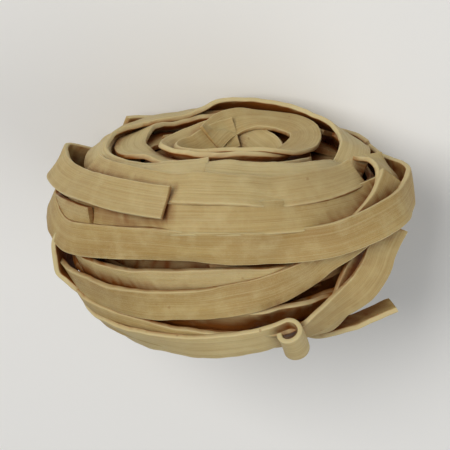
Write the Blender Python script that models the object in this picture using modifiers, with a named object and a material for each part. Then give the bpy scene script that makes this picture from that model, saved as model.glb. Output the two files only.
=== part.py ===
"""A nest of dried tagliatelle: flat ribbons wound round a core and fused to it, lying on its outer wall."""

import math

import bmesh
import bpy
import numpy as np

# Sizes of the whole nest, in metres: X along it, Y through the coil, Z up from where it rests
LENGTH = 0.082
COIL_WIDTH = 0.045
HEIGHT = 0.060
FLAT_CUT = 0.0014

# One ribbon of pasta
RIBBON_WIDTH = 0.0070
RIBBON_THICK = 0.0012
LAID_GAP = 0.00006

# The form that the ribbons are wound on: a ring with a superelliptic section, a little uneven, flattened
# below, with its high stacks pressed together, and narrower at both ends, most so on the -Y side
HALF_SIZE = (0.0362, 0.0186, 0.0290)
CORE_DEPTH = 0.0046
RING_SHARE = 0.56
SQUARENESS = 2.8
END_TAPER = (0.36, 0.10)
UNEVEN = ((2, 0.020, 1.0), (3, 0.015, 2.2))
FLATTENING = 0.07
FLATTENED_ARC = 0.40
PRESSED_FROM = 0.0036
PRESSED_SHARE = 0.55

# The winding: how many ribbons, how far each wanders across the coil, in radians, and the one whose start is
# cut back by a few steps, as it would poke through the ribbons above
INNER_RIBBONS = 10
OUTER_RIBBONS = 8
INNER_WANDER = (0.14, 0.08, 0.04)
OUTER_WANDER = (0.22, 0.12, 0.06)
WAVES_PER_RADIAN = (1.0, 1.7, 3.1)
INNER_TURNS = (1.0, 1.2)
OUTER_TURNS = (0.9, 1.2)
LARGEST_ACROSS = math.radians(124)
LARGEST_DRIFT = 0.4
LOOK_ASIDE = 0.15
CUT_SHORT = 17
CUT_STEPS = 12
TRIES = 14
SEED = 1

# Ribbons across the hollow of each face: how far they reach, how deep they lie, and their headings
HOLLOW_REACH = 0.0135
HOLLOW_LEVEL = 0.0074
HOLLOW_RISE = 0.0040
HOLLOW_CURVE = 0.0012
HOLLOW_HEADINGS = (math.radians(28), math.radians(112))

# Ribbons that leave the winding: a straight end and a bight, both seen edge-on from above, then one in
# (around, across) degrees whose end curls up: its radius at both ends of the curl, and its turns
EDGE_ON = (0.11, 0.37, 0.92)
STRAY_END = ((0.0080, -0.0150, 0.0165), (0.0150, -0.0178, 0.0168), (0.0220, -0.0188, 0.0165),
             (0.0300, -0.0168, 0.0150), (0.0385, -0.0132, 0.0130))
BIGHT = ((-0.0330, 0.0040, 0.0100), (-0.0392, -0.0030, 0.0100), (-0.0385, -0.0105, 0.0100),
         (-0.0330, -0.0142, 0.0110), (-0.0270, -0.0125, 0.0130), (-0.0220, -0.0080, 0.0120))
STRAY_TILT = 0.3
BIGHT_TILT = 0.2
CURLED_RIBBON = ((156, -62), (130, -56), (104, -49), (82, -37), (66, -26))
CURL_SIZE = (0.0029, 0.0020)
CURL_TURNS = 0.78

# How a ribbon lies on what is below it: its greatest slant, how far its ends lift, and over what length
SLANTS = np.linspace(-0.4, 0.4, 17)
SLANT_COST = 0.0004
LEAST_BOW = -30
GREATEST_BOW = 60
LOOSE_END_LIFT = 0.0015
LAST_END_LIFT = 0.0008
END_LENGTH = 0.010

# Steps of the layout
FINE = 0.0004
RUN_POINTS = 500
STIFF_REACH = 0.0044
WIDTH_REACH = 0.003
FROM_MIDDLE = np.linspace(-RIBBON_WIDTH / 2, RIBBON_WIDTH / 2, 19)
AROUND_CELLS = 720
ACROSS_CELLS = 360

# The faceted solid: the ribbons laid before FIRST_SHOWN are hidden in it
FIRST_SHOWN = 9
FACET_LENGTH = 0.0082
FACET_TURN = math.radians(30)
LONGEST_STRETCH = 0.110
STRETCH_OVERLAP = 0.003
ROOT = 0.0009
LOOSE_ROOT = 0.0003
LOOSE_RIBBONS = 3
CORE_AROUND = 28
CORE_ACROSS = 16
CORE_REACH = math.radians(135)
WEB_HALF = 0.006
NEAR_POLE = 0.01

# The finish
PASTA_COLOUR = (0.56, 0.42, 0.20, 1.0)
PASTA_ROUGHNESS = 0.65

# Ribbons that the nest rests on, then those of the side that lies up, the last ones laid:
# (around, across) in degrees along each
LAST_RIBBONS = (
    [(208, -44), (245, -34), (270, -31), (295, -33), (326, -42)],
    [(216, 44), (245, 34), (270, 32), (295, 33), (334, 38)],
    [(186, -38), (140, -38), (100, -32), (60, -30), (34, -36)],
    [(160, 46), (130, 46), (95, 44), (60, 48), (24, 56)],
    [(172, -10), (140, -12), (100, -6), (60, -4), (28, 4)],
    [(176, 18), (140, 16), (100, 22), (60, 26), (20, 32)],
    [(182, -58), (160, -58), (115, -58), (75, -56), (45, -60), (28, -68)],
    [(136, 10), (160, 6), (184, 0), (208, -6), (236, -8)],
    [(2, 62), (20, 34), (36, 0), (50, -36), (60, -60)],
    [(18, 36), (48, 4), (80, -12), (125, -20), (165, -27), (212, -16)],
    [(152, -46), (122, -46), (92, -44), (66, -36), (44, -14), (28, 10)],
    [(-24, 40), (20, 20), (58, 8), (108, 8), (150, 0), (184, 4)],
    [(106, 30), (140, 31), (180, 25), (226, 24)],
)


def signed_power(value, power):
    return np.sign(value) * np.abs(value) ** power


def unit(vectors):
    return vectors / np.linalg.norm(vectors, axis=-1, keepdims=True)


def dot(first, second):
    return np.einsum("...i,...i->...", first, second)[..., None]


def form(around, across, height):
    """A point HEIGHT above the core: AROUND runs along the coil, ACROSS over its section."""
    pressed = np.minimum(height, PRESSED_FROM) + PRESSED_SHARE * np.maximum(height - PRESSED_FROM, 0)
    depth = CORE_DEPTH - pressed
    out = signed_power(np.cos(across), 2 / SQUARENESS)
    side = signed_power(np.sin(across), 2 / SQUARENESS)
    half_x, half_y, half_z = HALF_SIZE
    ring_x, ring_z = RING_SHARE * half_x, RING_SHARE * half_z
    below = np.mod(around, 2 * math.pi) - 1.5 * math.pi
    lump = 1 - FLATTENING * np.exp(-((below / FLATTENED_ARC) ** 2))
    for waves, size, start in UNEVEN:
        lump = lump + size * np.sin(waves * around + start)
    to_north = (1 + np.sin(across)) / 2
    taper = 1 - (END_TAPER[0] * (1 - to_north) + END_TAPER[1] * to_north) * np.cos(around) ** 2
    x = (ring_x + (half_x * lump - ring_x - depth) * out) * np.cos(around)
    y = (half_y * taper - depth) * side
    z = (ring_z + (half_z * lump - ring_z - depth) * out) * np.sin(around)
    return np.stack([x, y, z], axis=-1)


def slopes(around, across, height, step=1e-4):
    """How the form runs along the coil and over its section, for each radian."""
    along = form(around + step, across, height) - form(around - step, across, height)
    over = form(around, across + step, height) - form(around, across - step, height)
    return along / (2 * step), over / (2 * step)


def travelled(points):
    return np.concatenate([[0], np.cumsum(np.linalg.norm(np.diff(points, axis=0), axis=1))])


def widest(values, reach):
    """Each value becomes the largest within REACH steps of it."""
    padded = np.pad(values, reach, mode="edge")
    return np.max(np.lib.stride_tricks.sliding_window_view(padded, 2 * reach + 1), axis=-1)


def averaged(values, reach):
    """Each value becomes a weighted mean of those within REACH steps of it."""
    kernel = np.hanning(2 * reach + 3)[1:-1]
    kernel = kernel / kernel.sum()
    first = 2 * values[0] - values[reach:0:-1]
    last = 2 * values[-1] - values[-2:-reach - 2:-1]
    return np.convolve(np.concatenate([first, values, last]), kernel, mode="valid")


def smoothed(vectors, reach):
    return np.stack([averaged(column, reach) for column in vectors.T], axis=1)


class Heap:
    """How high the ribbons laid so far reach above the core, in cells along and over the coil."""

    def __init__(self):
        self.top = np.zeros((AROUND_CELLS, ACROSS_CELLS))

    def cells(self, around, across):
        i = np.floor(around / (2 * math.pi) * AROUND_CELLS).astype(int) % AROUND_CELLS
        j = np.floor((across / (2 * math.pi) + 0.5) * ACROSS_CELLS).astype(int) % ACROSS_CELLS
        return i, j

    def lay(self, around, across, end_lift=0.0):
        """Lay a flat, stiff ribbon, and give its middle line, width direction and outward direction."""
        middle = np.full_like(around, CORE_DEPTH / 2)
        run = travelled(form(around, across, middle))
        place = np.arange(0, run[-1], FINE)
        around = np.interp(place, run, around)
        across = np.interp(place, run, across)
        middle = np.full_like(around, CORE_DEPTH / 2)
        along, over = slopes(around, across, middle)
        along_size = np.linalg.norm(along, axis=-1)
        over_size = np.linalg.norm(over, axis=-1)
        heading = np.arctan2(over_size * np.gradient(across), along_size * np.gradient(around))

        half = RIBBON_WIDTH / 2
        turn_around = -np.sin(heading) / along_size
        turn_across = np.cos(heading) / over_size
        left = form(around + half * turn_around, across + half * turn_across, middle)
        right = form(around - half * turn_around, across - half * turn_across, middle)
        outward = unit(np.cross(over, along))
        crown = dot(form(around, across, middle) - (left + right) / 2, outward)[:, 0]
        bow = np.clip(crown / half ** 2, LEAST_BOW, GREATEST_BOW)[:, None]

        cells = self.cells(around[:, None] + FROM_MIDDLE * turn_around[:, None],
                           across[:, None] + FROM_MIDDLE * turn_across[:, None])
        below = self.top[cells] - bow * FROM_MIDDLE ** 2
        rests = np.max(below[:, None, :] - SLANTS[:, None] * FROM_MIDDLE, axis=-1)
        lowest = SLANTS[np.argmin(rests + SLANT_COST * np.abs(SLANTS), axis=1)]
        reach = round(STIFF_REACH / FINE)
        slant = averaged(lowest, reach)
        height = np.max(below - slant[:, None] * FROM_MIDDLE, axis=-1)
        height = averaged(widest(height, reach), reach)
        near_end = np.clip(1 - np.minimum(place, place[-1] - place) / END_LENGTH, 0, 1)
        height = height + end_lift * near_end ** 2

        laid = height[:, None] + slant[:, None] * FROM_MIDDLE + bow * FROM_MIDDLE ** 2
        np.maximum.at(self.top, cells, laid + RIBBON_THICK + LAID_GAP)
        points = form(around, across, height + (RIBBON_THICK + LAID_GAP) / 2)
        along, over = slopes(around, across, height)
        outward = unit(np.cross(over, along))
        ahead = unit(np.gradient(points, axis=0))
        sideways = unit(np.cross(ahead, outward))
        sideways = sideways * np.sign(dot(sideways, over))
        sideways = unit(sideways + slant[:, None] * outward)
        sideways = unit(smoothed(sideways, round(WIDTH_REACH / FINE)))
        outward = unit(np.cross(sideways, ahead))
        outward = outward * np.sign(dot(outward, np.cross(over, along)))
        return points, sideways, outward

    def emptiest(self, rng, turns, wander):
        """Of a few random runs round the coil, the one over the least pasta."""
        runs = []
        for _ in range(TRIES):
            run = np.linspace(0, 2 * math.pi * rng.uniform(*turns), RUN_POINTS)
            around = rng.uniform(0, 2 * math.pi) + run
            start = rng.uniform(-LARGEST_ACROSS, LARGEST_ACROSS)
            turn_drift = rng.uniform(-LARGEST_DRIFT, LARGEST_DRIFT)
            across = start + turn_drift * run / (2 * math.pi)
            for size, waves in zip(wander, WAVES_PER_RADIAN):
                across = across + size * np.sin(waves * run + rng.uniform(0, 2 * math.pi))
            across = np.clip(across, -LARGEST_ACROSS, LARGEST_ACROSS)
            under = [self.top[self.cells(around, across + aside)] for aside in (-LOOK_ASIDE, 0, LOOK_ASIDE)]
            bare = np.mean(np.array(under) < RIBBON_THICK / 2)
            runs.append((np.mean(under) - RIBBON_THICK * bare, around, across))
        return min(runs, key=lambda run: run[0])[1:]


def smooth_line(knots):
    """A smooth line past a few knots, given by their coordinates."""
    at = np.linspace(0, len(knots) - 1, RUN_POINTS)
    columns = [np.interp(at, np.arange(len(knots)), column) for column in np.transpose(knots)]
    return smoothed(np.stack(columns, axis=1), RUN_POINTS // (2 * len(knots)))


def smooth_run(knots):
    """A smooth run past a few (around, across) pairs in degrees."""
    return smooth_line(np.radians(knots)).T


def across_hollow(face, heading, level):
    """A short ribbon that sags across the hollow of the face on the -Y or +Y side."""
    run = np.arange(-HOLLOW_REACH, HOLLOW_REACH, FINE)
    rise = HOLLOW_RISE * (run / HOLLOW_REACH) ** 2
    offset = HOLLOW_CURVE * np.cos(2 * run / HOLLOW_REACH)
    points = np.stack([run * math.cos(heading) - offset * math.sin(heading), face * (level + rise),
                       run * math.sin(heading) + offset * math.cos(heading)], axis=1)
    ahead = unit(np.gradient(points, axis=0))
    outward = unit(np.cross(ahead, np.cross([0.0, face, 0.0], ahead)))
    return points, unit(np.cross(outward, ahead)), outward


def even(points):
    """The same line in even steps."""
    place = travelled(points)
    steps = np.arange(0, place[-1], FINE)
    return np.stack([np.interp(steps, place, column) for column in points.T], axis=1)


def edge_on(knots, tilt):
    """A ribbon past a few points, its width along the EDGE_ON direction but for a TILT."""
    points = even(smooth_line(knots))
    ahead = unit(np.gradient(points, axis=0))
    outward = unit(np.cross(ahead, EDGE_ON))
    sideways = unit(np.cross(outward, ahead) + tilt * outward)
    return points, sideways, unit(np.cross(ahead, sideways))


def curled(points, sideways, outward):
    """A ribbon with its last end curled up and back, about its own width."""
    start, side, up = points[-1], sideways[-1], outward[-1]
    ahead = unit(np.cross(side, up))
    ahead = ahead * np.sign(dot(ahead, points[-1] - points[-2]))
    turn = np.linspace(0, 2 * math.pi * CURL_TURNS, RUN_POINTS)
    radius = np.linspace(*CURL_SIZE, RUN_POINTS)
    ring = np.outer(radius * np.sin(turn), ahead) - np.outer(radius * np.cos(turn), up)
    ring = even(start + CURL_SIZE[0] * up + ring)[1:]
    along = unit(np.gradient(ring, axis=0))
    inward = unit(np.cross(along, side))
    inward = inward * np.sign(dot(inward[0], up))
    return (np.concatenate([points, ring]), np.concatenate([sideways, np.tile(side, (len(ring), 1))]),
            np.concatenate([outward, inward]))


def wind_nest():
    """Every ribbon of the nest in the order it was laid, in the nest's final place and size."""
    rng = np.random.default_rng(SEED)
    heap = Heap()
    ribbons = []
    for _ in range(INNER_RIBBONS):
        ribbons.append(heap.lay(*heap.emptiest(rng, INNER_TURNS, INNER_WANDER)))
    for _ in range(OUTER_RIBBONS):
        ribbons.append(heap.lay(*heap.emptiest(rng, OUTER_TURNS, OUTER_WANDER), LOOSE_END_LIFT))
    ribbons[CUT_SHORT] = tuple(part[CUT_STEPS:] for part in ribbons[CUT_SHORT])
    for knots in LAST_RIBBONS:
        ribbons.append(heap.lay(*smooth_run(knots), LAST_END_LIFT))
    for face in (-1, 1):
        for number, heading in enumerate(HOLLOW_HEADINGS):
            ribbons.append(across_hollow(face, face * heading, HOLLOW_LEVEL + number * RIBBON_THICK))
    ribbons.append(edge_on(STRAY_END, STRAY_TILT))
    ribbons.append(edge_on(BIGHT, BIGHT_TILT))
    ribbons.append(curled(*heap.lay(*smooth_run(CURLED_RIBBON))))
    return settle(ribbons)


def settle(ribbons):
    """Fit the ribbons to the nest's length, width and height, standing on Z = 0."""
    corners = []
    for points, sideways, outward in ribbons:
        for side in (-RIBBON_WIDTH / 2, RIBBON_WIDTH / 2):
            corners.append(points + side * sideways)
    corners = np.concatenate(corners)
    low, high = corners.min(axis=0), corners.max(axis=0)
    target = np.array([LENGTH, COIL_WIDTH, HEIGHT + FLAT_CUT]) - RIBBON_THICK
    scale = target / (high - low)
    middle = (low + high) / 2
    lift = np.array([0, 0, (HEIGHT - FLAT_CUT) / 2])

    def place(point):
        return (point - middle) * scale + lift

    return [(place(points), sideways, outward) for points, sideways, outward in ribbons], place


def new_object(name, mesh, collection, material):
    """A named object in its collection, with its material."""
    thing = bpy.data.objects.new(name, mesh)
    thing.data.materials.append(material)
    collection.objects.link(thing)
    return thing


def new_collection(name):
    collection = bpy.data.collections.new(name)
    bpy.context.scene.collection.children.link(collection)
    return collection


def dried_pasta():
    material = bpy.data.materials.new("dried_egg_pasta")
    material.use_nodes = True
    shader = material.node_tree.nodes["Principled BSDF"]
    shader.inputs["Base Color"].default_value = PASTA_COLOUR
    shader.inputs["Roughness"].default_value = PASTA_ROUGHNESS
    shader.inputs["Metallic"].default_value = 0.0
    return material


def core(place, collection, material):
    """The heart of the coil: a sphere's rings moved onto the form, with a shallow web across the hole."""
    shape = bmesh.new()
    bmesh.ops.create_uvsphere(shape, u_segments=CORE_AROUND, v_segments=CORE_ACROSS, radius=1)
    for vertex in shape.verts:
        pole_angle = math.acos(max(-1.0, min(1.0, vertex.co.z)))
        if math.sin(pole_angle) < NEAR_POLE:
            point = np.array([0.0, math.copysign(WEB_HALF, vertex.co.z), 0.0])
        else:
            around = math.atan2(vertex.co.y, vertex.co.x)
            share = (pole_angle / math.pi - 1 / CORE_ACROSS) / (1 - 2 / CORE_ACROSS)
            across = CORE_REACH * (1 - 2 * share)
            point = form(np.array(around), np.array(across), 0.0)
        vertex.co = place(point)
    bmesh.ops.recalc_face_normals(shape, faces=shape.faces)
    if shape.calc_volume(signed=True) < 0:
        bmesh.ops.reverse_faces(shape, faces=shape.faces)
    mesh = bpy.data.meshes.new("nest")
    shape.to_mesh(mesh)
    shape.free()
    return new_object("nest", mesh, collection, material)


def picked(points, outward):
    """The places along a ribbon that its faceted solid keeps: closer together where it bends."""
    turn = np.arccos(np.clip(dot(outward[1:], outward[:-1])[:, 0], -1, 1))
    steps = np.diff(travelled(points)) / FACET_LENGTH + turn / FACET_TURN
    run = np.concatenate([[0], np.cumsum(steps)])
    wanted = np.linspace(0, run[-1], math.ceil(run[-1]) + 1)
    return np.searchsorted(run, wanted).clip(0, len(run) - 1)


def stretches(points):
    """A ribbon in stretches too short to meet themselves, each overlapping the next a little."""
    count = math.ceil(travelled(points)[-1] / LONGEST_STRETCH)
    bounds = np.linspace(0, len(points), count + 1).astype(int)
    overlap = round(STRETCH_OVERLAP / FINE)
    return [slice(max(0, start - overlap), end) for start, end in zip(bounds[:-1], bounds[1:])]


def ribbon_stretch(name, points, sideways, outward, root, collection, material):
    """A flat strip on a ribbon's outer face, given its thickness and a root to fuse by."""
    keep = picked(points, outward)
    shape = bmesh.new()
    bmesh.ops.create_grid(shape, x_segments=len(keep) - 1, y_segments=1, size=1)
    last = len(keep) - 1
    for vertex in shape.verts:
        at = keep[round((vertex.co.x + 1) / 2 * last)]
        side = vertex.co.y * RIBBON_WIDTH / 2
        vertex.co = points[at] + sideways[at] * side + outward[at] * RIBBON_THICK / 2
    shape.faces.ensure_lookup_table()
    middle = shape.faces[last // 2]
    middle.normal_update()
    if middle.normal.dot(outward[keep[last // 2]]) < 0:
        bmesh.ops.reverse_faces(shape, faces=shape.faces)
    mesh = bpy.data.meshes.new(name)
    shape.to_mesh(mesh)
    shape.free()
    thing = new_object(name, mesh, collection, material)
    solid = thing.modifiers.new("thickness", "SOLIDIFY")
    solid.thickness = RIBBON_THICK + root
    solid.offset = -1
    return thing


def apply_modifiers(thing):
    depsgraph = bpy.context.evaluated_depsgraph_get()
    mesh = bpy.data.meshes.new_from_object(thing.evaluated_get(depsgraph))
    thing.modifiers.clear()
    thing.data = mesh


def keep_largest_piece(thing):
    """Drop loose scraps, and fill hollows that the fusing has sealed."""
    shape = bmesh.new()
    shape.from_mesh(thing.data)
    unseen = set(shape.faces)
    pieces = []
    while unseen:
        piece = {unseen.pop()}
        border = list(piece)
        while border:
            face = border.pop()
            for edge in face.edges:
                for other in edge.link_faces:
                    if other not in piece:
                        piece.add(other)
                        border.append(other)
        unseen -= piece
        pieces.append(piece)
    largest = max(pieces, key=len)
    bmesh.ops.delete(shape, geom=[face for face in shape.faces if face not in largest], context="FACES")
    shape.to_mesh(thing.data)
    shape.free()


def build():
    for thing in list(bpy.data.objects):
        bpy.data.objects.remove(thing)
    nest_collection = new_collection("tagliatelle_nest")
    ribbon_collection = new_collection("ribbons")
    cutter_collection = new_collection("cutters")
    material = dried_pasta()
    ribbons, place = wind_nest()
    nest = core(place, nest_collection, material)
    for number, (points, sideways, outward) in enumerate(ribbons[FIRST_SHOWN:], start=FIRST_SHOWN):
        root = LOOSE_ROOT if number >= len(ribbons) - LOOSE_RIBBONS else ROOT
        for part, span in enumerate(stretches(points)):
            ribbon_stretch(f"ribbon_{number}_{part}", points[span], sideways[span], outward[span], root,
                           ribbon_collection, material)

    fuse = nest.modifiers.new("fuse", "BOOLEAN")
    fuse.operation = "UNION"
    fuse.operand_type = "COLLECTION"
    fuse.collection = ribbon_collection
    fuse.solver = "MANIFOLD"
    apply_modifiers(nest)
    for thing in list(ribbon_collection.objects):
        bpy.data.objects.remove(thing)

    bpy.ops.mesh.primitive_cube_add(size=1, location=(0, 0, -HEIGHT / 2))
    under = bpy.context.object
    under.name = "under"
    under.scale = (2 * LENGTH, 2 * LENGTH, HEIGHT)
    under.hide_render = True
    under.display_type = "WIRE"
    for collection in list(under.users_collection):
        collection.objects.unlink(under)
    cutter_collection.objects.link(under)
    flat = nest.modifiers.new("flat_spot", "BOOLEAN")
    flat.operation = "DIFFERENCE"
    flat.object = under
    flat.solver = "MANIFOLD"
    bpy.context.view_layer.update()
    apply_modifiers(nest)
    keep_largest_piece(nest)


build()
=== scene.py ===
"""The looks of a nest of dried tagliatelle: every ribbon with its rounded edges, over the coil's core."""

import math

import bmesh
import bpy
import numpy as np
from mathutils import Matrix, Vector


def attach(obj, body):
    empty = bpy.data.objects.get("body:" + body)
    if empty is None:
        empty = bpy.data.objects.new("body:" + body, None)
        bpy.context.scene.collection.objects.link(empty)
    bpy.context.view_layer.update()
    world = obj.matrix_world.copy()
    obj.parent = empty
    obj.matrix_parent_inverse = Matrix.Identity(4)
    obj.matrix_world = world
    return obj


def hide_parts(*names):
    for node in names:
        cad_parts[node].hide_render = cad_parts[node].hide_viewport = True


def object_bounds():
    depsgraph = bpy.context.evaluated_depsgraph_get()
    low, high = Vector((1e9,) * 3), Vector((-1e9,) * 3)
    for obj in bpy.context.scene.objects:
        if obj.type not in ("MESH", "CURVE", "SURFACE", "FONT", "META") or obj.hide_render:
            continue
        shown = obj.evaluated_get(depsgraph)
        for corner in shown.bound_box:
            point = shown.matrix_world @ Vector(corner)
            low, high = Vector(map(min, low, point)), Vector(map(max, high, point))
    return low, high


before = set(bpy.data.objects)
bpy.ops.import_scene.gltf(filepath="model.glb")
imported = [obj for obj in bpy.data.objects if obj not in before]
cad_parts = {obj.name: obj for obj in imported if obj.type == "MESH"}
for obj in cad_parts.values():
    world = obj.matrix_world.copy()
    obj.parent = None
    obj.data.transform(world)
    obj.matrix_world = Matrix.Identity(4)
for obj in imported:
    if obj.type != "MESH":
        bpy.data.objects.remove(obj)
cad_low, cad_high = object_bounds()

# Sizes of the whole nest, in metres: X along it, Y through the coil, Z up from where it rests
LENGTH = 0.082
COIL_WIDTH = 0.045
HEIGHT = 0.060
FLAT_CUT = 0.0014

# One ribbon of pasta
RIBBON_WIDTH = 0.0070
RIBBON_THICK = 0.0012
LAID_GAP = 0.00006

# The form that the ribbons are wound on: a ring with a superelliptic section, a little uneven, flattened
# below, with its high stacks pressed together, and narrower at both ends, most so on the -Y side
HALF_SIZE = (0.0362, 0.0186, 0.0290)
CORE_DEPTH = 0.0046
RING_SHARE = 0.56
SQUARENESS = 2.8
END_TAPER = (0.36, 0.10)
UNEVEN = ((2, 0.020, 1.0), (3, 0.015, 2.2))
FLATTENING = 0.07
FLATTENED_ARC = 0.40
PRESSED_FROM = 0.0036
PRESSED_SHARE = 0.55

# The winding: how many ribbons, how far each wanders across the coil, in radians, and the one whose start is
# cut back by a few steps, as it would poke through the ribbons above
INNER_RIBBONS = 10
OUTER_RIBBONS = 8
INNER_WANDER = (0.14, 0.08, 0.04)
OUTER_WANDER = (0.22, 0.12, 0.06)
WAVES_PER_RADIAN = (1.0, 1.7, 3.1)
INNER_TURNS = (1.0, 1.2)
OUTER_TURNS = (0.9, 1.2)
LARGEST_ACROSS = math.radians(124)
LARGEST_DRIFT = 0.4
LOOK_ASIDE = 0.15
CUT_SHORT = 17
CUT_STEPS = 12
TRIES = 14
SEED = 1

# Ribbons across the hollow of each face: how far they reach, how deep they lie, and their headings
HOLLOW_REACH = 0.0135
HOLLOW_LEVEL = 0.0074
HOLLOW_RISE = 0.0040
HOLLOW_CURVE = 0.0012
HOLLOW_HEADINGS = (math.radians(28), math.radians(112))

# Ribbons that leave the winding: a straight end and a bight, both seen edge-on from above, then one in
# (around, across) degrees whose end curls up: its radius at both ends of the curl, and its turns
EDGE_ON = (0.11, 0.37, 0.92)
STRAY_END = ((0.0080, -0.0150, 0.0165), (0.0150, -0.0178, 0.0168), (0.0220, -0.0188, 0.0165),
             (0.0300, -0.0168, 0.0150), (0.0385, -0.0132, 0.0130))
BIGHT = ((-0.0330, 0.0040, 0.0100), (-0.0392, -0.0030, 0.0100), (-0.0385, -0.0105, 0.0100),
         (-0.0330, -0.0142, 0.0110), (-0.0270, -0.0125, 0.0130), (-0.0220, -0.0080, 0.0120))
STRAY_TILT = 0.3
BIGHT_TILT = 0.2
CURLED_RIBBON = ((156, -62), (130, -56), (104, -49), (82, -37), (66, -26))
CURL_SIZE = (0.0029, 0.0020)
CURL_TURNS = 0.78

# How a ribbon lies on what is below it: the slants to choose from and their cost, how far it bows across
# its width, and how far its ends lift, over what length
SLANTS = np.linspace(-0.4, 0.4, 17)
SLANT_COST = 0.0004
LEAST_BOW = -30
GREATEST_BOW = 60
LOOSE_END_LIFT = 0.0015
LAST_END_LIFT = 0.0008
END_LENGTH = 0.010

# Steps of the layout: along a ribbon, how far its stiffness reaches, over its width, and the heap's cells
FINE = 0.0004
RUN_POINTS = 500
STIFF_REACH = 0.0044
WIDTH_REACH = 0.003
FROM_MIDDLE = np.linspace(-RIBBON_WIDTH / 2, RIBBON_WIDTH / 2, 19)
AROUND_CELLS = 720
ACROSS_CELLS = 360

# The modelled surface: a ribbon's rings of vertices lie at most this far apart, in metres and by how far it
# turns. Its edges are rounded, and its flat sides have a few points, as shares of their half width
RING_LENGTH = 0.0013
RING_TURN = math.radians(9)
EDGE_ROUND = 0.00022
EDGE_POINTS = 3
FLAT_POINTS = (0.5, 0.0, -0.5)
SHARP_ANGLE = math.radians(50)

# How ribbons differ: their shares of the full width and thickness, then the size of each slow wave, as a
# share or in metres, with its lengths in metres, and how slanted and rough their ends are cut
WIDTH_RANGE = (0.96, 1.03)
WIDTH_WAVES = (0.02, (0.031, 0.017))
THICK_RANGE = (0.90, 1.04)
THICK_WAVES = (0.05, (0.023, 0.011))
CUPPING = (0.00024, (0.060, 0.034))
CUP_MIDDLE = 0.4
LEFT_EDGE_WAVES = (0.00016, (0.019, 0.0083, 0.0047))
RIGHT_EDGE_WAVES = (0.00016, (0.023, 0.0091, 0.0051))
END_SLOPE = 0.16
END_ROUGH = 0.00008

# What the finish reads at each point: places in centimetres, and a ribbon's own number, at most this
CENTIMETRES = 100
OWN_NUMBERS = 50

# The core: its faces along the coil and over its section, how far it reaches over the section, how far it
# lies above the form, and half the web that closes its hole, at the poles of the sphere that it is made from
CORE_AROUND = 96
CORE_ACROSS = 48
CORE_REACH = math.radians(135)
CORE_SINK = -0.0004
WEB_HALF = 0.006
NEAR_POLE = 0.01

# How open a point is, which sets how much painted shade it gets: cells that pasta fills, and rays that step
# through them from a little above the surface. Rays that graze it don't count
CELL = 0.0008
CELLS_OVER_WIDTH = 11
RAYS = 28
RAY_STEPS = (0.0016, 0.0026, 0.0038, 0.0052, 0.0070, 0.0092)
RAY_START = 0.0006
GRAZING = 0.1
LEAST_WEIGHT = 1e-9

# The finish. Noises have a scale, detail and roughness, after how they are stretched along and across a
# ribbon; ranges run from one value of a noise to another, and then give the shares that these become
STREAK_NOISE = ((0.25, 6.0, 1.0), 1.6, 4.0, 0.6)
LINE_NOISE = ((0.12, 22.0, 1.0), 1.3, 2.0, 0.5)
BAND_NOISE = ((0.30, 0.5, 1.0), 1.0, 2.0, 0.5)
MOTTLE_NOISE = (240.0, 4.0, 0.6)
GRAIN_NOISE = (1500.0, 3.0, 0.6)
SPECK_NOISE = (620.0, 1.0, 0.3)
CORE_NOISE = ((1.0, 6.0, 1.0), 60.0, 3.0, 0.5)
BAND_RANGE = (0.32, 0.68)
OWN_RANGE = (0.0, 1.0, 0.0, 0.9)
STREAK_RANGE = (0.42, 0.70, 0.0, 0.45)
LINE_RANGE = (0.50, 0.72, 0.0, 0.35)
MOTTLE_RANGE = (0.45, 0.80, 0.0, 0.40)
# The paler cut edges: partly the flour's own colour, partly a painted highlight
PALE_EDGE_AND_HIGHLIGHT_RANGE = (0.90, 1.0, 0.0, 0.65)
SPECK_RANGE = (0.76, 0.82, 0.0, 0.5)
# Openness at which the painted shade in the gaps is full, and at which it is gone
OPEN_RANGE = (0.20, 0.92)
ROUGHNESS_RANGE = (0.3, 0.8, 0.54, 0.76)
LINE_BUMP = 0.6
LINE_DEPTH = 0.00016
GRAIN_BUMP = 0.35
GRAIN_DEPTH = 0.00006
PASTA_IOR = 1.45
PASTA_DEPTH = 0.15
PASTA_GLOW = (1.0, 0.55, 0.22)
PASTA_REACH = 0.0010
CORE_ROUGHNESS = 0.85
FLOOR_ROUGHNESS = 0.9

# The view, as the camera's place from the middle of the nest and the width that it takes in there, and
# the light: each lamp's name, place, size, power and colour
CAMERA_OFFSET = (0.041, 0.133, 0.335)
VIEW_WIDTH = 0.098
SENSOR = 36.0
KEY_LIGHT = ("window", (-0.28, 0.34, 0.72), 0.45, 4.4, (1.0, 0.98, 0.95))
FILL_LIGHT = ("fill", (0.55, -0.25, 0.45), 0.60, 1.9, (0.96, 0.98, 1.0))
LIGHT_UP = (0, 1, 0.01)
ROOM_LIGHT = 0.25
ROOM_COLOUR = (0.95, 0.97, 1.0, 1.0)
FLOOR_SIZE = 3.0

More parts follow.
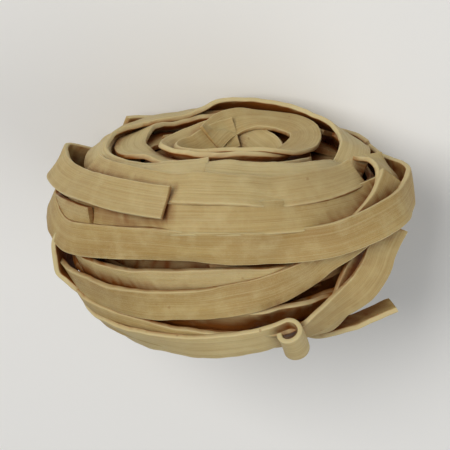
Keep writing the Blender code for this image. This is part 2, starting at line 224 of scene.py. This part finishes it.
# Ribbons that the nest rests on, then those of the side that lies up, the last ones laid:
# (around, across) in degrees along each
LAST_RIBBONS = (
    [(208, -44), (245, -34), (270, -31), (295, -33), (326, -42)],
    [(216, 44), (245, 34), (270, 32), (295, 33), (334, 38)],
    [(186, -38), (140, -38), (100, -32), (60, -30), (34, -36)],
    [(160, 46), (130, 46), (95, 44), (60, 48), (24, 56)],
    [(172, -10), (140, -12), (100, -6), (60, -4), (28, 4)],
    [(176, 18), (140, 16), (100, 22), (60, 26), (20, 32)],
    [(182, -58), (160, -58), (115, -58), (75, -56), (45, -60), (28, -68)],
    [(136, 10), (160, 6), (184, 0), (208, -6), (236, -8)],
    [(2, 62), (20, 34), (36, 0), (50, -36), (60, -60)],
    [(18, 36), (48, 4), (80, -12), (125, -20), (165, -27), (212, -16)],
    [(152, -46), (122, -46), (92, -44), (66, -36), (44, -14), (28, 10)],
    [(-24, 40), (20, 20), (58, 8), (108, 8), (150, 0), (184, 4)],
    [(106, 30), (140, 31), (180, 25), (226, 24)],
)


def signed_power(value, power):
    return np.sign(value) * np.abs(value) ** power


def unit(vectors):
    return vectors / np.linalg.norm(vectors, axis=-1, keepdims=True)


def dot(first, second):
    return np.einsum("...i,...i->...", first, second)[..., None]


def form(around, across, height):
    """A point HEIGHT above the core: AROUND runs along the coil, ACROSS over its section."""
    pressed = np.minimum(height, PRESSED_FROM) + PRESSED_SHARE * np.maximum(height - PRESSED_FROM, 0)
    depth = CORE_DEPTH - pressed
    out = signed_power(np.cos(across), 2 / SQUARENESS)
    side = signed_power(np.sin(across), 2 / SQUARENESS)
    half_x, half_y, half_z = HALF_SIZE
    ring_x, ring_z = RING_SHARE * half_x, RING_SHARE * half_z
    below = np.mod(around, 2 * math.pi) - 1.5 * math.pi
    lump = 1 - FLATTENING * np.exp(-((below / FLATTENED_ARC) ** 2))
    for waves, size, start in UNEVEN:
        lump = lump + size * np.sin(waves * around + start)
    to_north = (1 + np.sin(across)) / 2
    taper = 1 - (END_TAPER[0] * (1 - to_north) + END_TAPER[1] * to_north) * np.cos(around) ** 2
    x = (ring_x + (half_x * lump - ring_x - depth) * out) * np.cos(around)
    y = (half_y * taper - depth) * side
    z = (ring_z + (half_z * lump - ring_z - depth) * out) * np.sin(around)
    return np.stack([x, y, z], axis=-1)


def slopes(around, across, height, step=1e-4):
    """How the form runs along the coil and over its section, for each radian."""
    along = form(around + step, across, height) - form(around - step, across, height)
    over = form(around, across + step, height) - form(around, across - step, height)
    return along / (2 * step), over / (2 * step)


def travelled(points):
    return np.concatenate([[0], np.cumsum(np.linalg.norm(np.diff(points, axis=0), axis=1))])


def widest(values, reach):
    """Each value becomes the largest within REACH steps of it."""
    padded = np.pad(values, reach, mode="edge")
    return np.max(np.lib.stride_tricks.sliding_window_view(padded, 2 * reach + 1), axis=-1)


def averaged(values, reach):
    """Each value becomes a weighted mean of those within REACH steps of it."""
    kernel = np.hanning(2 * reach + 3)[1:-1]
    kernel = kernel / kernel.sum()
    first = 2 * values[0] - values[reach:0:-1]
    last = 2 * values[-1] - values[-2:-reach - 2:-1]
    return np.convolve(np.concatenate([first, values, last]), kernel, mode="valid")


def smoothed(vectors, reach):
    return np.stack([averaged(column, reach) for column in vectors.T], axis=1)


class Heap:
    """How high the ribbons laid so far reach above the core, in cells along and over the coil."""

    def __init__(self):
        self.top = np.zeros((AROUND_CELLS, ACROSS_CELLS))

    def cells(self, around, across):
        i = np.floor(around / (2 * math.pi) * AROUND_CELLS).astype(int) % AROUND_CELLS
        j = np.floor((across / (2 * math.pi) + 0.5) * ACROSS_CELLS).astype(int) % ACROSS_CELLS
        return i, j

    def lay(self, around, across, end_lift=0.0):
        """Lay a flat, stiff ribbon, and give its middle line, width direction and outward direction."""
        middle = np.full_like(around, CORE_DEPTH / 2)
        run = travelled(form(around, across, middle))
        place = np.arange(0, run[-1], FINE)
        around = np.interp(place, run, around)
        across = np.interp(place, run, across)
        middle = np.full_like(around, CORE_DEPTH / 2)
        along, over = slopes(around, across, middle)
        along_size = np.linalg.norm(along, axis=-1)
        over_size = np.linalg.norm(over, axis=-1)
        heading = np.arctan2(over_size * np.gradient(across), along_size * np.gradient(around))

        half = RIBBON_WIDTH / 2
        turn_around = -np.sin(heading) / along_size
        turn_across = np.cos(heading) / over_size
        left = form(around + half * turn_around, across + half * turn_across, middle)
        right = form(around - half * turn_around, across - half * turn_across, middle)
        outward = unit(np.cross(over, along))
        crown = dot(form(around, across, middle) - (left + right) / 2, outward)[:, 0]
        bow = np.clip(crown / half ** 2, LEAST_BOW, GREATEST_BOW)[:, None]

        cells = self.cells(around[:, None] + FROM_MIDDLE * turn_around[:, None],
                           across[:, None] + FROM_MIDDLE * turn_across[:, None])
        below = self.top[cells] - bow * FROM_MIDDLE ** 2
        rests = np.max(below[:, None, :] - SLANTS[:, None] * FROM_MIDDLE, axis=-1)
        lowest = SLANTS[np.argmin(rests + SLANT_COST * np.abs(SLANTS), axis=1)]
        reach = round(STIFF_REACH / FINE)
        slant = averaged(lowest, reach)
        height = np.max(below - slant[:, None] * FROM_MIDDLE, axis=-1)
        height = averaged(widest(height, reach), reach)
        near_end = np.clip(1 - np.minimum(place, place[-1] - place) / END_LENGTH, 0, 1)
        height = height + end_lift * near_end ** 2

        laid = height[:, None] + slant[:, None] * FROM_MIDDLE + bow * FROM_MIDDLE ** 2
        np.maximum.at(self.top, cells, laid + RIBBON_THICK + LAID_GAP)
        points = form(around, across, height + (RIBBON_THICK + LAID_GAP) / 2)
        along, over = slopes(around, across, height)
        outward = unit(np.cross(over, along))
        ahead = unit(np.gradient(points, axis=0))
        sideways = unit(np.cross(ahead, outward))
        sideways = sideways * np.sign(dot(sideways, over))
        sideways = unit(sideways + slant[:, None] * outward)
        sideways = unit(smoothed(sideways, round(WIDTH_REACH / FINE)))
        outward = unit(np.cross(sideways, ahead))
        outward = outward * np.sign(dot(outward, np.cross(over, along)))
        return points, sideways, outward

    def emptiest(self, rng, turns, wander):
        """Of a few random runs round the coil, the one over the least pasta."""
        runs = []
        for _ in range(TRIES):
            run = np.linspace(0, 2 * math.pi * rng.uniform(*turns), RUN_POINTS)
            around = rng.uniform(0, 2 * math.pi) + run
            start = rng.uniform(-LARGEST_ACROSS, LARGEST_ACROSS)
            turn_drift = rng.uniform(-LARGEST_DRIFT, LARGEST_DRIFT)
            across = start + turn_drift * run / (2 * math.pi)
            for size, waves in zip(wander, WAVES_PER_RADIAN):
                across = across + size * np.sin(waves * run + rng.uniform(0, 2 * math.pi))
            across = np.clip(across, -LARGEST_ACROSS, LARGEST_ACROSS)
            under = [self.top[self.cells(around, across + aside)] for aside in (-LOOK_ASIDE, 0, LOOK_ASIDE)]
            bare = np.mean(np.array(under) < RIBBON_THICK / 2)
            runs.append((np.mean(under) - RIBBON_THICK * bare, around, across))
        return min(runs, key=lambda run: run[0])[1:]


def smooth_line(knots):
    """A smooth line past a few knots, given by their coordinates."""
    at = np.linspace(0, len(knots) - 1, RUN_POINTS)
    columns = [np.interp(at, np.arange(len(knots)), column) for column in np.transpose(knots)]
    return smoothed(np.stack(columns, axis=1), RUN_POINTS // (2 * len(knots)))


def smooth_run(knots):
    """A smooth run past a few (around, across) pairs in degrees."""
    return smooth_line(np.radians(knots)).T


def across_hollow(face, heading, level):
    """A short ribbon that sags across the hollow of the face on the -Y or +Y side."""
    run = np.arange(-HOLLOW_REACH, HOLLOW_REACH, FINE)
    rise = HOLLOW_RISE * (run / HOLLOW_REACH) ** 2
    offset = HOLLOW_CURVE * np.cos(2 * run / HOLLOW_REACH)
    points = np.stack([run * math.cos(heading) - offset * math.sin(heading), face * (level + rise),
                       run * math.sin(heading) + offset * math.cos(heading)], axis=1)
    ahead = unit(np.gradient(points, axis=0))
    outward = unit(np.cross(ahead, np.cross([0.0, face, 0.0], ahead)))
    return points, unit(np.cross(outward, ahead)), outward


def even(points):
    """The same line in even steps."""
    place = travelled(points)
    steps = np.arange(0, place[-1], FINE)
    return np.stack([np.interp(steps, place, column) for column in points.T], axis=1)


def edge_on(knots, tilt):
    """A ribbon past a few points, its width along the EDGE_ON direction but for a TILT."""
    points = even(smooth_line(knots))
    ahead = unit(np.gradient(points, axis=0))
    outward = unit(np.cross(ahead, EDGE_ON))
    sideways = unit(np.cross(outward, ahead) + tilt * outward)
    return points, sideways, unit(np.cross(ahead, sideways))


def curled(points, sideways, outward):
    """A ribbon with its last end curled up and back, about its own width."""
    start, side, up = points[-1], sideways[-1], outward[-1]
    ahead = unit(np.cross(side, up))
    ahead = ahead * np.sign(dot(ahead, points[-1] - points[-2]))
    turn = np.linspace(0, 2 * math.pi * CURL_TURNS, RUN_POINTS)
    radius = np.linspace(*CURL_SIZE, RUN_POINTS)
    ring = np.outer(radius * np.sin(turn), ahead) - np.outer(radius * np.cos(turn), up)
    ring = even(start + CURL_SIZE[0] * up + ring)[1:]
    along = unit(np.gradient(ring, axis=0))
    inward = unit(np.cross(along, side))
    inward = inward * np.sign(dot(inward[0], up))
    return (np.concatenate([points, ring]), np.concatenate([sideways, np.tile(side, (len(ring), 1))]),
            np.concatenate([outward, inward]))


def wind_nest():
    """Every ribbon of the nest in the order it was laid, in the nest's final place and size."""
    rng = np.random.default_rng(SEED)
    heap = Heap()
    ribbons = []
    for _ in range(INNER_RIBBONS):
        ribbons.append(heap.lay(*heap.emptiest(rng, INNER_TURNS, INNER_WANDER)))
    for _ in range(OUTER_RIBBONS):
        ribbons.append(heap.lay(*heap.emptiest(rng, OUTER_TURNS, OUTER_WANDER), LOOSE_END_LIFT))
    ribbons[CUT_SHORT] = tuple(part[CUT_STEPS:] for part in ribbons[CUT_SHORT])
    for knots in LAST_RIBBONS:
        ribbons.append(heap.lay(*smooth_run(knots), LAST_END_LIFT))
    for face in (-1, 1):
        for number, heading in enumerate(HOLLOW_HEADINGS):
            ribbons.append(across_hollow(face, face * heading, HOLLOW_LEVEL + number * RIBBON_THICK))
    ribbons.append(edge_on(STRAY_END, STRAY_TILT))
    ribbons.append(edge_on(BIGHT, BIGHT_TILT))
    ribbons.append(curled(*heap.lay(*smooth_run(CURLED_RIBBON))))
    return settle(ribbons)


def settle(ribbons):
    """Fit the ribbons to the nest's length, width and height, standing on Z = 0."""
    corners = []
    for points, sideways, outward in ribbons:
        for side in (-RIBBON_WIDTH / 2, RIBBON_WIDTH / 2):
            corners.append(points + side * sideways)
    corners = np.concatenate(corners)
    low, high = corners.min(axis=0), corners.max(axis=0)
    target = np.array([LENGTH, COIL_WIDTH, HEIGHT + FLAT_CUT]) - RIBBON_THICK
    scale = target / (high - low)
    middle = (low + high) / 2
    lift = np.array([0, 0, (HEIGHT - FLAT_CUT) / 2])

    def place(point):
        return (point - middle) * scale + lift

    return [(place(points), sideways, outward) for points, sideways, outward in ribbons], place


def srgb(red, green, blue):
    """A colour given as 0 to 255 in sRGB, as the shader's linear values."""
    share = np.array([red, green, blue]) / 255
    linear = np.where(share <= 0.04045, share / 12.92, ((share + 0.055) / 1.055) ** 2.4)
    return (*linear, 1.0)


# Pasta from deep to floury, the flour that also paints highlights on cut edges, its specks, the painted
# shade in the gaps, the core's painted shade tones, and the floor
STRAW = srgb(179, 149, 87)
STRAW_DEEP = srgb(153, 119, 58)
STRAW_PALE = srgb(207, 190, 140)
FLOUR_AND_EDGE_HIGHLIGHT = srgb(213, 197, 148)
SPECK = srgb(150, 112, 62)
PAINTED_GAP_SHADE = srgb(180, 114, 38)
PAINTED_CORE_SHADE_LIGHT = srgb(96, 60, 24)
PAINTED_CORE_SHADE_DARK = srgb(58, 32, 12)
FLOOR_COLOUR = srgb(236, 235, 232)


def slow_noise(place, rng, size, lengths):
    """A slow wave along a ribbon: a few sines of the given lengths in metres, of seeded starts."""
    total = np.zeros_like(place)
    for length in lengths:
        total = total + np.sin(2 * math.pi * place / length + rng.uniform(0, 2 * math.pi))
    return size * total / len(lengths)


def section():
    """A ribbon's rounded cross-section, as sideways and outward shares of its half width and thickness."""
    half_width, half_thick = RIBBON_WIDTH / 2, RIBBON_THICK / 2
    across, out = [], []
    for quarter in range(4):
        corner_x = (half_width - EDGE_ROUND) * (1, -1, -1, 1)[quarter]
        corner_y = (half_thick - EDGE_ROUND) * (1, 1, -1, -1)[quarter]
        for turn in np.linspace(0, math.pi / 2, EDGE_POINTS) + quarter * math.pi / 2:
            across.append(corner_x + EDGE_ROUND * math.cos(turn))
            out.append(corner_y + EDGE_ROUND * math.sin(turn))
        if quarter in (0, 2):
            for share in FLAT_POINTS:
                across.append(share * corner_x)
                out.append(half_thick * (1, 0, -1)[quarter])
    return np.array(across) / half_width, np.array(out) / half_thick


def picked(points, outward):
    """The places along a ribbon that get a ring of vertices: closer together where it bends."""
    turn = np.arccos(np.clip(dot(outward[1:], outward[:-1])[:, 0], -1, 1))
    steps = np.diff(travelled(points)) / RING_LENGTH + turn / RING_TURN
    run = np.concatenate([[0], np.cumsum(steps)])
    wanted = np.linspace(0, run[-1], math.ceil(run[-1]) + 1)
    return np.unique(np.searchsorted(run, wanted).clip(0, len(run) - 1))


def ribbon_skin(points, sideways, outward, rng):
    """One ribbon's rings of vertices: its width, thickness, cupping and edges vary a little along it."""
    keep = picked(points, outward)
    place = travelled(points)[keep]
    points, sideways, outward = points[keep], sideways[keep], outward[keep]
    ahead = unit(np.gradient(points, axis=0))
    across, out = section()
    half_width = RIBBON_WIDTH / 2 * (rng.uniform(*WIDTH_RANGE) + slow_noise(place, rng, *WIDTH_WAVES))
    half_thick = RIBBON_THICK / 2 * (rng.uniform(*THICK_RANGE) + slow_noise(place, rng, *THICK_WAVES))
    cupping = slow_noise(place, rng, *CUPPING)
    left = slow_noise(place, rng, *LEFT_EDGE_WAVES)
    right = slow_noise(place, rng, *RIGHT_EDGE_WAVES)
    edge_share = np.clip(np.abs(across), 0, 1) ** 3
    wave = np.where(across > 0, left[:, None], right[:, None]) * edge_share
    rise = half_thick[:, None] * out + cupping[:, None] * (across ** 2 - CUP_MIDDLE) + wave
    spread = half_width[:, None] * across
    rings = points[:, None] + sideways[:, None] * spread[..., None] + outward[:, None] * rise[..., None]
    for end in (0, -1):
        slope = rng.uniform(-END_SLOPE, END_SLOPE)
        rough = rng.uniform(-END_ROUGH, END_ROUGH, len(across))
        rings[end] += ahead[end] * (slope * spread[end] + rough)[:, None]
    own = rng.uniform(0, OWN_NUMBERS)
    where = np.stack(np.broadcast_arrays(place[:, None] * CENTIMETRES, across, own), axis=-1)
    return rings, where


def filled_cells(ribbons):
    """The cells that pasta fills, with the corner that they start from."""
    across = np.linspace(-RIBBON_WIDTH / 2, RIBBON_WIDTH / 2, CELLS_OVER_WIDTH)[:, None]
    spots = [points[:, None] + across * sideways[:, None] for points, sideways, outward in ribbons]
    spots = np.concatenate([spot.reshape(-1, 3) for spot in spots])
    margin = RAY_STEPS[-1] + 2 * CELL
    corner = spots.min(axis=0) - margin
    size = np.ceil((spots.max(axis=0) + margin - corner) / CELL).astype(int) + 1
    filled = np.zeros(size, dtype=bool)
    filled[tuple(np.floor((spots - corner) / CELL).astype(int).T)] = True
    return filled, corner


def openness(points, normals, filled, corner):
    """How much of the room each point sees past the other ribbons, from 0 to 1."""
    turn = np.arange(RAYS) * math.pi * (3 - math.sqrt(5))
    level = 1 - 2 * (np.arange(RAYS) + 0.5) / RAYS
    flat = np.sqrt(1 - level ** 2)
    rays = np.stack([flat * np.cos(turn), flat * np.sin(turn), level], axis=1)
    seen = np.zeros(len(points))
    whole = np.full(len(points), LEAST_WEIGHT)
    for ray in rays:
        weight = np.maximum(normals @ ray - GRAZING, 0)
        free = np.ones(len(points), dtype=bool)
        for step in RAY_STEPS:
            spots = points + RAY_START * normals + step * ray - corner
            cells = np.clip(np.floor(spots / CELL).astype(int), 0, np.array(filled.shape) - 1)
            free &= ~filled[tuple(cells.T)]
        seen += weight * free
        whole += weight
    return seen / whole


def ribbons_piece(ribbons):
    """Every ribbon in one mesh, with each point's place along and across its ribbon."""
    rng = np.random.default_rng(SEED)
    count = len(section()[0])
    vertices, places, faces = [], [], []
    start = 0
    for points, sideways, outward in ribbons:
        rings, where = ribbon_skin(points, sideways, outward, rng)
        length = len(rings)
        ring, spot = np.meshgrid(np.arange(length - 1), np.arange(count), indexing="ij")
        following = (spot + 1) % count
        quads = np.stack([ring * count + spot, ring * count + following,
                          (ring + 1) * count + following, (ring + 1) * count + spot], axis=-1)
        faces.extend((quads.reshape(-1, 4) + start).tolist())
        faces.append((start + np.arange(count)[::-1]).tolist())
        faces.append((start + (length - 1) * count + np.arange(count)).tolist())
        vertices.append(rings.reshape(-1, 3))
        places.append(where.reshape(-1, 3))
        start += length * count
    vertices, places = np.concatenate(vertices), np.concatenate(places)
    vertices[:, 2] = np.maximum(vertices[:, 2], 0)
    mesh = bpy.data.meshes.new("ribbons")
    mesh.from_pydata(vertices.tolist(), [], faces)
    mesh.attributes.new("ribbon_place", "FLOAT_VECTOR", "POINT").data.foreach_set("vector", places.ravel())
    shape = bmesh.new()
    shape.from_mesh(mesh)
    bmesh.ops.recalc_face_normals(shape, faces=shape.faces)
    shape.to_mesh(mesh)
    shape.free()
    normals = np.zeros(len(mesh.vertices) * 3)
    mesh.vertices.foreach_get("normal", normals)
    # How open each point is, which sets the painted shade in the gaps
    sky = openness(vertices, normals.reshape(-1, 3), *filled_cells(ribbons))
    mesh.attributes.new("openness", "FLOAT", "POINT").data.foreach_set("value", sky)
    mesh.shade_smooth()
    mesh.set_sharp_from_angle(angle=SHARP_ANGLE)
    piece = bpy.data.objects.new("ribbons", mesh)
    bpy.context.scene.collection.objects.link(piece)
    return piece


def core_piece(place):
    """The heart of the coil, seen only as the dark between ribbons; its colour is painted shade."""
    shape = bmesh.new()
    bmesh.ops.create_uvsphere(shape, u_segments=CORE_AROUND, v_segments=CORE_ACROSS, radius=1)
    for vertex in shape.verts:
        pole_angle = math.acos(max(-1.0, min(1.0, vertex.co.z)))
        if math.sin(pole_angle) < NEAR_POLE:
            point = np.array([0.0, math.copysign(WEB_HALF, vertex.co.z), 0.0])
        else:
            around = math.atan2(vertex.co.y, vertex.co.x)
            share = (pole_angle / math.pi - 1 / CORE_ACROSS) / (1 - 2 / CORE_ACROSS)
            point = form(np.array(around), np.array(CORE_REACH * (1 - 2 * share)), CORE_SINK)
        vertex.co = place(point)
    bmesh.ops.recalc_face_normals(shape, faces=shape.faces)
    if shape.calc_volume(signed=True) < 0:
        bmesh.ops.reverse_faces(shape, faces=shape.faces)
    mesh = bpy.data.meshes.new("core")
    shape.to_mesh(mesh)
    shape.free()
    mesh.shade_smooth()
    piece = bpy.data.objects.new("core", mesh)
    bpy.context.scene.collection.objects.link(piece)
    return piece


class Nodes:
    """Adds shader nodes to one material, and joins them."""

    def __init__(self, name):
        self.material = bpy.data.materials.new(name)
        self.material.use_nodes = True
        self.tree = self.material.node_tree
        self.shader = self.tree.nodes["Principled BSDF"]

    def add(self, kind, inputs=(), **settings):
        node = self.tree.nodes.new(kind)
        for name, value in settings.items():
            setattr(node, name, value)
        for socket, value in dict(inputs).items():
            if isinstance(value, bpy.types.NodeSocket):
                self.tree.links.new(value, node.inputs[socket])
            else:
                node.inputs[socket].default_value = value
        return node

    def range(self, value, low, high, to_low=0.0, to_high=1.0):
        inputs = {"Value": value, "From Min": low, "From Max": high, "To Min": to_low, "To Max": to_high}
        return self.add("ShaderNodeMapRange", inputs).outputs["Result"]

    def noise(self, vector, scale, detail, roughness):
        inputs = {"Vector": vector, "Scale": scale, "Detail": detail, "Roughness": roughness}
        return self.add("ShaderNodeTexNoise", inputs).outputs["Fac"]

    def drawn(self, vector, stretch, scale, detail, roughness):
        """Noise stretched by a share along each axis."""
        stretched = self.add("ShaderNodeMapping", {"Vector": vector, "Scale": stretch}).outputs["Vector"]
        return self.noise(stretched, scale, detail, roughness)

    def mix(self, share, first, second, how="MIX"):
        inputs = {0: share, 6: first, 7: second}
        mixer = self.add("ShaderNodeMix", inputs, data_type="RGBA", clamp_factor=True, blend_type=how)
        return mixer.outputs[2]


def dried_pasta():
    """Matte straw-coloured pasta: drawn streaks, a floury bloom, paler cut edges that are partly a painted
    highlight, and painted orange-brown shade in the gaps.
    """
    nodes = Nodes("dried_egg_pasta")
    where = nodes.add("ShaderNodeAttribute", attribute_name="ribbon_place").outputs["Vector"]
    split = nodes.add("ShaderNodeSeparateXYZ", {0: where})
    own_noise = nodes.add("ShaderNodeTexWhiteNoise", {"W": split.outputs["Z"]}, noise_dimensions="1D")
    own = own_noise.outputs["Value"]
    open_share = nodes.add("ShaderNodeAttribute", attribute_name="openness").outputs["Fac"]
    solid = nodes.add("ShaderNodeTexCoord").outputs["Object"]

    streaks = nodes.drawn(where, *STREAK_NOISE)
    lines = nodes.drawn(where, *LINE_NOISE)
    bands = nodes.drawn(where, *BAND_NOISE)
    mottle = nodes.noise(solid, *MOTTLE_NOISE)
    grain = nodes.noise(solid, *GRAIN_NOISE)
    specks = nodes.noise(solid, *SPECK_NOISE)
    from_middle = nodes.add("ShaderNodeMath", {0: split.outputs["Y"]}, operation="ABSOLUTE").outputs[0]

    colour = nodes.mix(nodes.range(bands, *BAND_RANGE), STRAW_DEEP, STRAW)
    colour = nodes.mix(nodes.range(own, *OWN_RANGE), colour, STRAW_PALE)
    colour = nodes.mix(nodes.range(streaks, *STREAK_RANGE), colour, STRAW_DEEP)
    colour = nodes.mix(nodes.range(lines, *LINE_RANGE), colour, FLOUR_AND_EDGE_HIGHLIGHT)
    colour = nodes.mix(nodes.range(mottle, *MOTTLE_RANGE), colour, FLOUR_AND_EDGE_HIGHLIGHT)
    # Paler cut edges, partly the flour's own colour and partly a painted highlight
    colour = nodes.mix(nodes.range(from_middle, *PALE_EDGE_AND_HIGHLIGHT_RANGE), colour, FLOUR_AND_EDGE_HIGHLIGHT)
    colour = nodes.mix(nodes.range(specks, *SPECK_RANGE), colour, SPECK)
    # Painted shade: the pasta turns deep orange-brown where the other ribbons close off the room
    painted_shade_colour = nodes.mix(1.0, colour, PAINTED_GAP_SHADE, "MULTIPLY")
    colour = nodes.mix(nodes.range(open_share, *OPEN_RANGE), painted_shade_colour, colour)
    nodes.tree.links.new(colour, nodes.shader.inputs["Base Color"])

    dull = nodes.range(mottle, *ROUGHNESS_RANGE)
    nodes.tree.links.new(dull, nodes.shader.inputs["Roughness"])
    nodes.shader.inputs["IOR"].default_value = PASTA_IOR
    nodes.shader.inputs["Subsurface Weight"].default_value = PASTA_DEPTH
    nodes.shader.inputs["Subsurface Radius"].default_value = PASTA_GLOW
    nodes.shader.inputs["Subsurface Scale"].default_value = PASTA_REACH

    coarse = nodes.add("ShaderNodeBump", {"Height": lines, "Strength": LINE_BUMP, "Distance": LINE_DEPTH})
    fine = nodes.add("ShaderNodeBump", {"Height": grain, "Strength": GRAIN_BUMP, "Distance": GRAIN_DEPTH,
                                        "Normal": coarse.outputs["Normal"]})
    nodes.tree.links.new(fine.outputs["Normal"], nodes.shader.inputs["Normal"])
    return nodes.material


def painted_shade_core():
    """Painted shade: dark pasta tones for the heart of the coil, where only shade shows between ribbons."""
    nodes = Nodes("painted_shade_core")
    solid = nodes.add("ShaderNodeTexCoord").outputs["Object"]
    bands = nodes.drawn(solid, *CORE_NOISE)
    nodes.tree.links.new(nodes.mix(bands, PAINTED_CORE_SHADE_DARK, PAINTED_CORE_SHADE_LIGHT), nodes.shader.inputs["Base Color"])
    nodes.shader.inputs["Roughness"].default_value = CORE_ROUGHNESS
    return nodes.material


def floor_piece():
    bpy.ops.mesh.primitive_plane_add(size=FLOOR_SIZE, location=(0, 0, 0))
    floor = bpy.context.object
    floor.name = "floor"
    nodes = Nodes("pale_floor")
    nodes.shader.inputs["Base Color"].default_value = FLOOR_COLOUR
    nodes.shader.inputs["Roughness"].default_value = FLOOR_ROUGHNESS
    floor.data.materials.append(nodes.material)


def aimed(thing, position, target, up):
    """Places a camera or light at POSITION, looking at TARGET."""
    back = (position - target).normalized()
    right = up.cross(back).normalized()
    turn = Matrix((right, back.cross(right), back)).transposed()
    thing.matrix_world = Matrix.Translation(position) @ turn.to_4x4()


def area_light(name, position, size, power, colour, target):
    light = bpy.data.lights.new(name, "AREA")
    light.size = size
    light.energy = power
    light.color = colour
    thing = bpy.data.objects.new(name, light)
    bpy.context.scene.collection.objects.link(thing)
    aimed(thing, Vector(position), target, Vector(LIGHT_UP))


def lights(target):
    area_light(*KEY_LIGHT, target)
    area_light(*FILL_LIGHT, target)
    world = bpy.data.worlds.new("soft_room")
    world.use_nodes = True
    world.node_tree.nodes["Background"].inputs["Color"].default_value = ROOM_COLOUR
    world.node_tree.nodes["Background"].inputs["Strength"].default_value = ROOM_LIGHT
    bpy.context.scene.world = world


def camera(target):
    """The photograph's view: from well above, a little to the nest's +X and +Y side."""
    data = bpy.data.cameras.new("camera")
    thing = bpy.data.objects.new("camera", data)
    bpy.context.scene.collection.objects.link(thing)
    offset = Vector(CAMERA_OFFSET)
    data.sensor_width = SENSOR
    data.lens = SENSOR * offset.length / VIEW_WIDTH
    aimed(thing, target + offset, target, Vector((0, 1, 0)))
    bpy.context.scene.camera = thing


wound, settled = wind_nest()
ribbons = ribbons_piece(wound)
ribbons.data.materials.append(dried_pasta())
core = core_piece(settled)
core.data.materials.append(painted_shade_core())
for piece in (ribbons, core):
    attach(piece, "root")
    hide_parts("nest")

middle = (cad_low + cad_high) / 2
floor_piece()
lights(middle)
camera(middle)
bpy.context.scene.view_settings.view_transform = "Standard"
